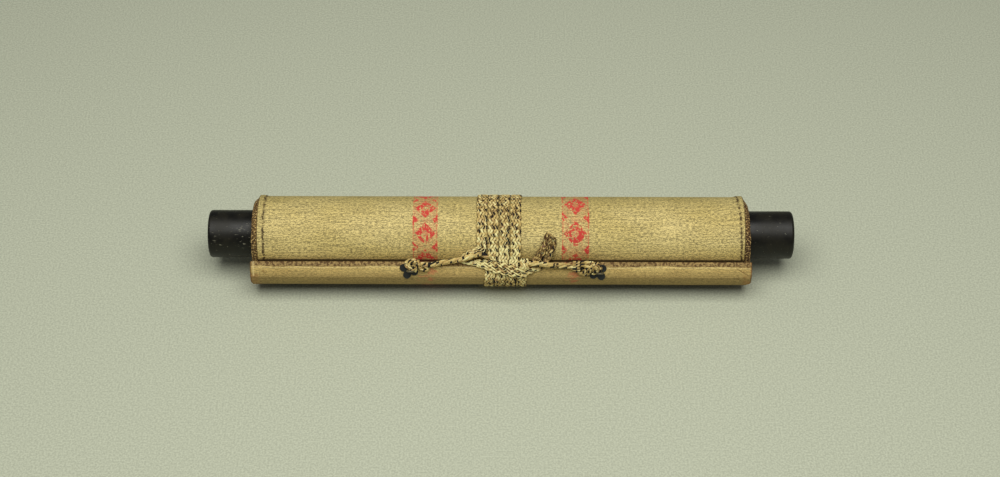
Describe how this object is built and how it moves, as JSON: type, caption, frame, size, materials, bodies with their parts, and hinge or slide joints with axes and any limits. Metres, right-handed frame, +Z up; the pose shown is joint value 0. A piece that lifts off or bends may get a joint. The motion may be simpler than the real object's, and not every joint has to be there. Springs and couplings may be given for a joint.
{
  "type": "paper scroll",
  "caption": "Rolled hanging scroll of aged paper on a roller with black knobs, its half-round stave outside, tied round the middle with a flat braided ribbon.",
  "frame": {"origin": "on the surface it lies on, under the middle of the roller's axis", "axes": "+X along the roller, +Z up, the stave on the -Y side"},
  "size_m": [0.4076, 0.0692, 0.0552],
  "materials": {
    "paper": "matte, fine crepe grain, aged",
    "bare_wood": "unfinished",
    "black_lacquer": "worn satin lacquer",
    "black_iron": "blackened",
    "wire": "tarnished",
    "braid": "flat plaited silk, faded"
  },
  "bodies": {
    "root": {"rolled_sheet": "paper", "stave_pocket": "paper", "roller_rod": "bare_wood", "stave": "bare_wood", "left_knob": "black_lacquer", "right_knob": "black_lacquer", "left_washer": "black_iron", "right_washer": "black_iron", "left_eyelet": "wire", "right_eyelet": "wire", "hanging_cord_left": "braid", "hanging_cord_right": "braid", "left_cord_knot": "braid", "right_cord_knot": "braid", "ribbon_wrap": "braid", "ribbon_last_pass": "braid", "ribbon_tail": "braid"}
  },
  "joints": []
}
